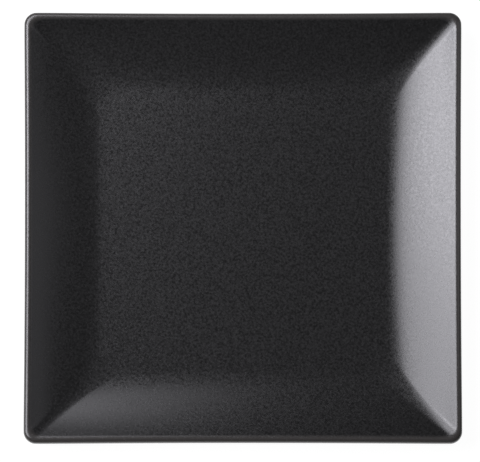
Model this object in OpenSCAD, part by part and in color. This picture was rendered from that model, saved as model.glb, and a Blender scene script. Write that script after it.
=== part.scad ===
// Square stoneware dinner plate: a pressed clay body under a matte black glaze.
// The origin is the middle of the standing face of the foot, with +Z up.

/* [Plate] */
// Width of the square rim over the glaze, measured at its corners
plate_w = 260; // [220:1:320]
// Radius of the rim's corners, seen from above
rim_corner_r = 7.5; // [5:0.5:14]
// How far the middle of each side draws in from a straight rim
side_bow = 0.6; // [0:0.1:2]

/* [Well] */
// Width of the flat well between the feet of the walls
well_w = 167; // [130:1:185]
// Corner radius of the flat well
well_corner_r = 18; // [10:1:30]
// Thickness of the clay under the well
base_t = 5.5; // [4:0.1:8]

/* [Wall] */
// Slope of the inner wall where it reaches the lip, in degrees
wall_angle = 27; // [18:1:38]
// Corner radius of the inner wall where it reaches the lip
wall_corner_r = 6; // [3:0.5:10]
// How far the middle of each wall swells inwards half way up
wall_swell = 2.8; // [0:0.1:5]

/* [Lip] */
// Radius that rolls the inner wall up to the crest of the lip
lip_roll_r = 4.5; // [2:0.1:7]
// Radius from the crest of the lip over to the outer edge
lip_edge_r = 1.9; // [1:0.1:3]
// Height of the upright outer edge
lip_land_h = 2.2; // [1:0.1:4]
// Radius under the outer edge
lip_under_r = 1.2; // [0.8:0.1:2]

/* [Foot] */
// How far the foot ring stands in from the edge of the well
foot_inset = 8.5; // [4:0.5:15]
// Corner radius of the foot ring
foot_corner_r = 24; // [14:1:36]
// Thickness of the foot ring
foot_t = 5; // [3:0.5:9]
// Height of the foot ring
foot_h = 3.5; // [2.6:0.1:6]
// Radius where the foot ring meets the underside
foot_fillet_r = 1.5; // [0.8:0.1:2.2]
// Radius of the two edges of the standing face
foot_edge_r = 0.8; // [0.4:0.1:1.4]

/* [Glaze] */
// Thickness of the fired glaze
glaze_t = 0.3; // [0.1:0.05:0.6]

/* [Hidden] */

glaze_colour = [0.17, 0.17, 0.18];
clay_colour = [0.56, 0.48, 0.40];

// Points on a ring: steps round each corner and along each side
corner_n = 8;
side_n = 8;
ring_n = 4 * (corner_n + side_n);

// Rings up a wall, round each side of the lip's crest and round each small foot radius
wall_n = 10;
lip_n = 4;
small_n = 3;

// Share by which the wall bends more near the well than further up
early_share = 0.52;
// How fast the corners of the wall sharpen into mitre lines from the well to the lip
corner_fade = 3;
// Share of the wall's run at which its outside leaves the curve under the lip
under_start_share = 0.9;

// The clay's well, outer edge and crest
well_half = well_w / 2;
well_z = foot_h + base_t;
lip_x = plate_w / 2 - glaze_t;
crest_x = lip_x - lip_edge_r;
wall_run = crest_x - lip_roll_r * sin(wall_angle) - well_half;
wall_h = wall_run * tan(wall_angle) / steepness(1);
crest_z = well_z + wall_h + lip_roll_r * (1 - cos(wall_angle));
clay_corner_r = rim_corner_r - glaze_t;

// Thickness of the clay wall just below the lip, square to the wall
lip_wall_t = (lip_edge_r + lip_land_h - lip_roll_r) * cos(wall_angle)
    + (lip_edge_r - lip_under_r) * sin(wall_angle)
    + lip_roll_r + lip_under_r;

// Foot ring: outer and inner half widths, and the level where the glaze stops on its sides
foot_half = well_half - foot_inset;
foot_inner_half = foot_half - foot_t;
glaze_line_z = (foot_edge_r + foot_h - foot_fillet_r) / 2;

// The inner wall as u goes from 0 at the well to 1 at the lip
function rise(u) = u ^ 2 * (1 + early_share * (1 - u) ^ 2);
function steepness(u) = 2 * u * (1 + early_share * (1 - u) * (1 - 2 * u));
function slope(u) = atan(wall_h / wall_run * steepness(u));
function plan_r(u) = wall_corner_r + (well_corner_r - wall_corner_r) * (1 - u) ^ corner_fade;
function draw_in(u) = side_bow * u + wall_swell * 4 * u * (1 - u);
function thickness(u) = lip_wall_t + (base_t - lip_wall_t) * (1 - u);

// A station is one level of the clay surface:
// half width, height, outward direction across and up, corner radius in plan, draw-in of the sides
function wall_station(u) =
    let (s = slope(u))
    [well_half + wall_run * u, well_z + wall_h * rise(u), -sin(s), cos(s), plan_r(u), draw_in(u)];

function under_station(u) =
    let (s = slope(u))
    let (t = thickness(u))
    [
        well_half + wall_run * u + t * sin(s),
        well_z + wall_h * rise(u) - t * cos(s),
        sin(s),
        -cos(s),
        plan_r(u) + t * sin(s),
        draw_in(u)
    ];

// A turn of the lip about the crest, with a radius of its own on each side
// The corners go from the wall's radius to the rim's on the way out
function lip_station(turn, r) =
    let (x = crest_x + r * cos(turn))
    let (out = (x - well_half - wall_run) / (lip_x - well_half - wall_run))
    [
        x,
        crest_z - r + r * sin(turn),
        cos(turn),
        sin(turn),
        wall_corner_r + (clay_corner_r - wall_corner_r) * out,
        side_bow
    ];

function under_lip_station(i) =
    let (turn = (wall_angle - 90) * i / small_n)
    let (back = lip_under_r * (1 - cos(turn)))
    [
        lip_x - back,
        crest_z - lip_edge_r - lip_land_h + lip_under_r * sin(turn),
        cos(turn),
        sin(turn),
        clay_corner_r - back,
        side_bow
    ];

// An arc on the foot from one angle to another; side is 1 on a rounded edge and -1 in a fillet
function foot_arc(x, z, r, from, to, side) = [
    for (i = [0:small_n])
        let (turn = from + (to - from) * i / small_n)
        [
            x + r * cos(turn),
            z + r * sin(turn),
            side * cos(turn),
            side * sin(turn),
            foot_corner_r - foot_half + x + r * cos(turn),
            0
        ]
];

// The clay from the well's edge over the lip to the line on the foot where the glaze stops
outer_stations = concat(
    [for (i = [0:wall_n]) wall_station(i / wall_n)],
    [for (i = [1:lip_n]) lip_station(90 + wall_angle * (1 - i / lip_n), lip_roll_r)],
    [for (i = [1:lip_n]) lip_station(90 * (1 - i / lip_n), lip_edge_r)],
    [for (i = [0:small_n]) under_lip_station(i)],
    [for (i = [0:wall_n - 1]) under_station(under_start_share * (1 - i / (wall_n - 1)))],
    foot_arc(foot_half + foot_fillet_r, foot_h - foot_fillet_r, foot_fillet_r, 90, 180, -1),
    [[foot_half, glaze_line_z, 1, 0, foot_corner_r, 0]]
);

// The bare standing edge of the foot
standing_stations = concat(
    foot_arc(foot_half - foot_edge_r, foot_edge_r, foot_edge_r, 0, -90, 1),
    foot_arc(foot_inner_half + foot_edge_r, foot_edge_r, foot_edge_r, -90, -180, 1)
);

// The clay inside the foot ring, from the line where the glaze starts up to the flat recess
recess_stations = concat(
    [[foot_inner_half, glaze_line_z, -1, 0, foot_corner_r - foot_t, 0]],
    foot_arc(foot_inner_half - foot_fillet_r, foot_h - foot_fillet_r, foot_fillet_r, 0, 90, -1)
);

// One quarter of a rounded square: a corner, then the side that follows it and draws in towards its middle
// The side meets the corner's arc at a tilt, so the arc turns further and has a smaller radius for that
function quarter(w, r, bow) =
    let (tilt = atan(2 * bow / (w - r)))
    let (arc_r = r / (1 + sin(tilt)))
    concat(
        [
            for (i = [0:corner_n])
                let (turn = (90 + 2 * tilt) * i / corner_n - tilt)
                [w - arc_r + arc_r * cos(turn), w - arc_r + arc_r * sin(turn)]
        ],
        [
            for (i = [1:side_n - 1])
                let (x = 1 - 2 * i / side_n)
                [(w - r) * x, w - arc_r * (1 - cos(tilt)) - bow * (1 - x ^ 2)]
        ]
    );

function quarter_turned(p, q) =
    [p.x * cos(90 * q) - p.y * sin(90 * q), p.x * sin(90 * q) + p.y * cos(90 * q)];

// The points of one station, with the surface raised by lift
function ring(s, lift) =
    let (w = s[0] + lift * s[2])
    let (z = s[1] + lift * s[3])
    let (r = s[4] + lift * s[2])
    [for (q = [0:3]) for (p = quarter(w, r, s[5])) concat(quarter_turned(p, q), [z])];

function rings(stations, lift) = [for (s = stations) each ring(s, lift)];

// Faces between two rings that start at the point numbers from and to, or their backs
function join_faces(from, to, back) = [
    for (j = [0:ring_n - 1])
        let (k = (j + 1) % ring_n)
        each back
            ? [[from + j, to + k, from + k], [from + j, to + j, to + k]]
            : [[from + j, from + k, to + k], [from + j, to + k, to + j]]
];

function band_faces(count, start, back) = [
    for (i = [0:count - 2]) each join_faces(start + i * ring_n, start + (i + 1) * ring_n, back)
];

// Faces from a ring to a point on the axis, looking up, or their backs
function cap_faces(start, pole, back) = [
    for (j = [0:ring_n - 1])
        let (k = (j + 1) % ring_n)
        back ? [pole, start + j, start + k] : [pole, start + k, start + j]
];

module stoneware_body() {
    stations = concat(outer_stations, standing_stations, recess_stations);
    last = (len(stations) - 1) * ring_n;
    top_pole = len(stations) * ring_n;
    color(clay_colour)
        polyhedron(
            points = concat(rings(stations, 0), [[0, 0, well_z], [0, 0, foot_h]]),
            faces = concat(
                cap_faces(0, top_pole, false),
                band_faces(len(stations), 0, false),
                cap_faces(last, top_pole + 1, true)
            )
        );
}

module outer_glaze() {
    count = len(outer_stations);
    inner = count * ring_n;
    last = inner - ring_n;
    pole = 2 * inner;
    color(glaze_colour)
        polyhedron(
            points = concat(
                rings(outer_stations, glaze_t),
                rings(outer_stations, 0),
                [[0, 0, well_z + glaze_t], [0, 0, well_z]]
            ),
            faces = concat(
                cap_faces(0, pole, false),
                band_faces(count, 0, false),
                join_faces(last, inner + last, false),
                band_faces(count, inner, true),
                cap_faces(inner, pole + 1, true)
            )
        );
}

module recess_glaze() {
    count = len(recess_stations);
    inner = count * ring_n;
    last = inner - ring_n;
    pole = 2 * inner;
    color(glaze_colour)
        polyhedron(
            points = concat(
                rings(recess_stations, glaze_t),
                rings(recess_stations, 0),
                [[0, 0, foot_h - glaze_t], [0, 0, foot_h]]
            ),
            faces = concat(
                join_faces(inner, 0, false),
                band_faces(count, 0, false),
                cap_faces(last, pole, true),
                band_faces(count, inner, true),
                cap_faces(inner + last, pole + 1, false)
            )
        );
}

stoneware_body();
outer_glaze();
recess_glaze();
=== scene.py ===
import math

import bmesh
import bpy
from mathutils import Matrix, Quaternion, Vector


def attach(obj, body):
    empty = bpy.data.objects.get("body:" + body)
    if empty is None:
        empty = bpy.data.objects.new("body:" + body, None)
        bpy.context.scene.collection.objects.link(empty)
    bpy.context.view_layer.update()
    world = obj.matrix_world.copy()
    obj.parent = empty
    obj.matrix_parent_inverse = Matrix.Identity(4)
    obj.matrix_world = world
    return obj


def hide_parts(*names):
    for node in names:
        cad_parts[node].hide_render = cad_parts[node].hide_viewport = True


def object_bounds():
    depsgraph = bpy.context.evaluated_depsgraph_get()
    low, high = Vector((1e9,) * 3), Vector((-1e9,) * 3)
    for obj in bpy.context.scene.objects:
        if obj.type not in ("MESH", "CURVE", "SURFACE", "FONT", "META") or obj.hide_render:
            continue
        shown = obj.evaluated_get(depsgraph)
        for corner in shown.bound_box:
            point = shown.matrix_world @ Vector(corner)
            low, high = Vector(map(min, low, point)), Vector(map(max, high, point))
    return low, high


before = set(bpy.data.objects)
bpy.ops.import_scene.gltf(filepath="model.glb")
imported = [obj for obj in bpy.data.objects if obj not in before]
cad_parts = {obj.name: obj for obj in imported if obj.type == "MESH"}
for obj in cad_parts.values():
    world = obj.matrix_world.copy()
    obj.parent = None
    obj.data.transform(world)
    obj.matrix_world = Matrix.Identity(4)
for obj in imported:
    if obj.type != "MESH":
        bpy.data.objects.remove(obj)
cad_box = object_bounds()


# Clay body
# The plate is pressed from stoneware clay in one piece: well, walls, lip and foot ring together.
# It is fired warm grey-brown and lies under the glaze everywhere but on the wiped foot ring.

SMOOTHING_LEVELS = 2
WELD_GAP = 0.000002
FACET_ANGLE = math.radians(50)
GRID_PULL = 1.08
CLAY_COLOUR = (0.36, 0.285, 0.215, 1)
CLAY_DARK = (0.23, 0.175, 0.13, 1)
CLAY_SPECK = (0.07, 0.05, 0.04, 1)
CLAY_ROUGHNESS = 0.86
CLAY_GRAIN_SCALE = 2600
CLAY_GRAIN_DETAIL = 3
CLAY_GRAIN_BAND = (0.35, 0.65)
CLAY_BUMP_DEPTH = 0.00005
CLAY_SPECK_SCALE = 900
CLAY_SPECK_DETAIL = 1
CLAY_SPECK_BAND = (0.66, 0.72)
NOISE_TURN = (0.5, 0.4, 0.6)


def smooth_piece(node_name, piece_name):
    """A smooth surface over a CAD node: its triangles are welded, paired into quads and subdivided."""
    bm = bmesh.new()
    bm.from_mesh(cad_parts[node_name].data)
    bmesh.ops.remove_doubles(bm, verts=bm.verts, dist=WELD_GAP)
    away_from_poles = [f for f in bm.faces if all(v.co.xy.length > WELD_GAP for v in f.verts)]
    bmesh.ops.join_triangles(
        bm,
        faces=away_from_poles,
        angle_face_threshold=FACET_ANGLE,
        angle_shape_threshold=math.pi,
        topology_influence=GRID_PULL,
    )
    mesh = bpy.data.meshes.new(piece_name)
    bm.to_mesh(mesh)
    bm.free()
    for polygon in mesh.polygons:
        polygon.use_smooth = True
    piece = bpy.data.objects.new(piece_name, mesh)
    bpy.context.scene.collection.objects.link(piece)
    smoothing = piece.modifiers.new("smoothing", "SUBSURF")
    smoothing.levels = SMOOTHING_LEVELS
    smoothing.render_levels = SMOOTHING_LEVELS
    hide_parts(node_name)
    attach(piece, "root")
    return piece


class Finish:
    """A material with its node tree, to which nodes are added one by one."""

    def __init__(self, name):
        self.material = bpy.data.materials.new(name)
        self.material.use_nodes = True
        self.nodes = self.material.node_tree.nodes
        self.links = self.material.node_tree.links
        self.surface = self.nodes["Principled BSDF"]
        self.place = self.nodes.new("ShaderNodeTexCoord").outputs["Object"]

    def add(self, kind, settings=None, **inputs):
        """Add a node; an input is given by its name, or by its number after an underscore."""
        node = self.nodes.new("ShaderNode" + kind)
        for key, value in (settings or {}).items():
            setattr(node, key, value)
        for key, value in inputs.items():
            number = key[1:]
            self.connect(value, node.inputs[int(number) if number.isdigit() else key])
        return node

    def connect(self, value, socket):
        if isinstance(value, bpy.types.NodeSocket):
            self.links.new(value, socket)
        else:
            socket.default_value = value

    def give(self, name, value):
        """Give the surface a number, a colour or a node's output."""
        self.connect(value, self.surface.inputs[name])

    def noise(self, scale, detail):
        turned = self.add("Mapping", Vector=self.place, Rotation=NOISE_TURN).outputs["Vector"]
        return self.add("TexNoise", Vector=turned, Scale=scale, Detail=detail).outputs["Fac"]

    def spread(self, value, band, to=(0.0, 1.0)):
        """Stretch what lies within a band of values over another range."""
        node = self.add("MapRange", _0=value, _1=band[0], _2=band[1], _3=to[0], _4=to[1])
        return node.outputs["Result"]

    def mix(self, amount, first, second):
        node = self.add("Mix", {"data_type": "RGBA"}, _0=amount, _6=first, _7=second)
        return node.outputs[2]

    def calculate(self, operation, *values):
        inputs = {"_%d" % i: value for i, value in enumerate(values)}
        return self.add("Math", {"operation": operation}, **inputs).outputs[0]

    def bump(self, height, depth):
        bump = self.add("Bump", Height=height, Strength=1.0, Distance=depth)
        self.give("Normal", bump.outputs["Normal"])


clay = Finish("bare_clay")
clay_grain = clay.noise(CLAY_GRAIN_SCALE, CLAY_GRAIN_DETAIL)
clay_specks = clay.spread(clay.noise(CLAY_SPECK_SCALE, CLAY_SPECK_DETAIL), CLAY_SPECK_BAND)
clay_tone = clay.mix(clay.spread(clay_grain, CLAY_GRAIN_BAND), CLAY_COLOUR, CLAY_DARK)
clay.give("Base Color", clay.mix(clay_specks, clay_tone, CLAY_SPECK))
clay.give("Roughness", CLAY_ROUGHNESS)
clay.bump(clay_grain, CLAY_BUMP_DEPTH)

clay_body = smooth_piece("stoneware_body", "clay_body")
clay_body.data.materials.append(clay.material)


# Outer glaze
# A matte black glaze, sprayed over the well, the walls and the lip and down the outside to the foot.
# It fires to a fine sandy satin, and runs thin over the lip, where the brown clay tints it.

GLAZE_COLOUR = (0.0072, 0.0072, 0.0072, 1)
GLAZE_PALE = (0.0132, 0.0132, 0.0132, 1)
GRAIN_SCALE = 760
GRAIN_DETAIL = 1
GRAIN_BAND = (0.3, 0.7)
GRAIN_DEPTH = 0.000012
# The roughness is the fourth root of the sheen, so that smooth and rough grains balance
SHEEN = (0.00095, 0.00600)
SHEEN_ROOT = 0.25
# The glaze thins over this stretch from the middle, measured square to a side of the rim
LIP_COLOUR = (0.0360, 0.0338, 0.0318, 1)
LIP_BAND = (0.1248, 0.1270)
CORNER_BLEND = 0.0132
SIDE_CURVE = 0.0355

glaze = Finish("black_glaze")
grain = glaze.noise(GRAIN_SCALE, GRAIN_DETAIL)
glaze_tone = glaze.mix(glaze.spread(grain, GRAIN_BAND), GLAZE_COLOUR, GLAZE_PALE)
axes = glaze.add("SeparateXYZ", Vector=glaze.place).outputs
from_middle = [glaze.calculate("ABSOLUTE", axes["X"]), glaze.calculate("ABSOLUTE", axes["Y"])]
across = glaze.calculate("SMOOTH_MAX", *from_middle, CORNER_BLEND)
along = glaze.calculate("MINIMUM", *from_middle)
drawn_in = glaze.calculate("MULTIPLY", glaze.calculate("POWER", along, 2), SIDE_CURVE)
thin = glaze.spread(glaze.calculate("SUBTRACT", across, drawn_in), LIP_BAND)
glaze.give("Base Color", glaze.mix(thin, glaze_tone, LIP_COLOUR))
glaze.give("Roughness", glaze.calculate("POWER", glaze.spread(grain, GRAIN_BAND, SHEEN), SHEEN_ROOT))
glaze.bump(grain, GRAIN_DEPTH)

outer_coat = smooth_piece("outer_glaze", "glaze_coat")
outer_coat.data.materials.append(glaze.material)


# Recess glaze
# The same glaze inside the foot ring, where it was sprayed before the foot was wiped.
# The bare foot ring cuts it off from the outer coat.

recess_coat = smooth_piece("recess_glaze", "recess_glaze_coat")
recess_coat.data.materials.append(glaze.material)


# Floor and light
# A plain white floor lit from below, as on a light table, so that the plate throws hardly any shadow.
# Two soft panels hang on the left and at the back left, and two dim cards at the right and the back.
# The panels hang high, because a low one would whiten the plate with its glare when seen from low down.

FLOOR_HALF = 3.0
FLOOR_COLOUR = (0.05, 0.05, 0.05, 1)
FLOOR_ROUGHNESS = 0.7
FLOOR_GLOW = 0.97
ROOM_LIGHT = 0.047
WHITE = (1, 1, 1, 1)
PANEL_TINT = (1.0, 0.988, 1.055)

floor_mesh = bpy.data.meshes.new("floor")
bm = bmesh.new()
bmesh.ops.create_grid(bm, x_segments=1, y_segments=1, size=FLOOR_HALF)
bm.to_mesh(floor_mesh)
bm.free()
floor = bpy.data.objects.new("floor", floor_mesh)
bpy.context.scene.collection.objects.link(floor)
paint = Finish("floor_white")
paint.give("Base Color", FLOOR_COLOUR)
paint.give("Roughness", FLOOR_ROUGHNESS)
paint.give("Emission Color", WHITE)
paint.give("Emission Strength", FLOOR_GLOW)
floor_mesh.materials.append(paint.material)

# The room is dark to the plate, and white where the camera looks past the floor
world = bpy.data.worlds.new("studio")
world.use_nodes = True
sky = world.node_tree
room = sky.nodes["Background"]
room.inputs["Color"].default_value = WHITE
room.inputs["Strength"].default_value = ROOM_LIGHT
backdrop = sky.nodes.new("ShaderNodeBackground")
backdrop.inputs["Color"].default_value = WHITE
seen = sky.nodes.new("ShaderNodeLightPath")
choice = sky.nodes.new("ShaderNodeMixShader")
sky.links.new(seen.outputs["Is Camera Ray"], choice.inputs["Fac"])
sky.links.new(room.outputs[0], choice.inputs[1])
sky.links.new(backdrop.outputs[0], choice.inputs[2])
sky.links.new(choice.outputs[0], sky.nodes["World Output"].inputs["Surface"])
bpy.context.scene.world = world


def soft_panel(name, bearing, from_top, distance, size, turn, brightness):
    """A rectangular soft panel that faces the plate: bearing and from_top are its direction in degrees."""
    light = bpy.data.lights.new(name, "AREA")
    light.shape = "RECTANGLE"
    light.size, light.size_y = size
    light.color = PANEL_TINT
    light.energy = brightness * math.pi * size[0] * size[1]
    panel = bpy.data.objects.new(name, light)
    bearing, from_top = math.radians(bearing), math.radians(from_top)
    flat = math.sin(from_top)
    way = Vector((flat * math.cos(bearing), flat * math.sin(bearing), math.cos(from_top)))
    panel.location = way * distance
    facing = (-way).to_track_quat("-Z", "Y")
    panel.rotation_euler = (facing @ Quaternion((0, 0, 1), math.radians(turn))).to_euler()
    panel.visible_camera = False
    bpy.context.scene.collection.objects.link(panel)


soft_panel(
    "large_panel",
    bearing=177.0, from_top=38.4, distance=1.922, size=(1.263, 1.177), turn=-31.8, brightness=7.24,
)
soft_panel(
    "near_panel",
    bearing=138.0, from_top=39.7, distance=0.886, size=(0.499, 0.529), turn=43.9, brightness=6.16,
)
soft_panel(
    "right_card",
    bearing=18.4, from_top=50.0, distance=0.501, size=(0.252, 0.426), turn=16.0, brightness=0.65,
)
soft_panel(
    "back_strip",
    bearing=110.6, from_top=40.5, distance=0.574, size=(0.123, 0.319), turn=10.4, brightness=1.4,
)


# Camera
# A long lens looks down from nearly straight above, so that the sides of the rim stay parallel.
# It leans towards the plate's near side and puts the rim where it lies in the photo.

IMAGE_WIDTH_PX = 480
IMAGE_MIDDLE_PX = (240, 231)
RIM_WIDTH_PX = 438.1
RIM_MIDDLE_PX = (242.9, 227.9)
OUTLINE_DROP = 0.0032
LEAN = math.radians(10.5)
DISTANCE = 12.0
SENSOR_WIDTH_MM = 36

low, high = cad_box
metres_per_px = (high[0] - low[0]) / RIM_WIDTH_PX
rim_height = high[2] - OUTLINE_DROP
view_up = Vector((0, math.cos(LEAN), math.sin(LEAN)))
view_out = Vector((0, -math.sin(LEAN), math.cos(LEAN)))
aim = Vector((0, 0, rim_height))
aim -= Vector((1, 0, 0)) * (RIM_MIDDLE_PX[0] - IMAGE_MIDDLE_PX[0]) * metres_per_px
aim += view_up * (RIM_MIDDLE_PX[1] - IMAGE_MIDDLE_PX[1]) * metres_per_px
lens = bpy.data.cameras.new("camera")
lens.sensor_width = SENSOR_WIDTH_MM
lens.lens = SENSOR_WIDTH_MM * DISTANCE / (IMAGE_WIDTH_PX * metres_per_px)
lens.clip_end = 2 * DISTANCE
camera = bpy.data.objects.new("camera", lens)
camera.location = aim + view_out * DISTANCE
camera.rotation_euler = (LEAN, 0, 0)
bpy.context.scene.collection.objects.link(camera)
bpy.context.scene.camera = camera
bpy.context.scene.view_settings.view_transform = "Standard"
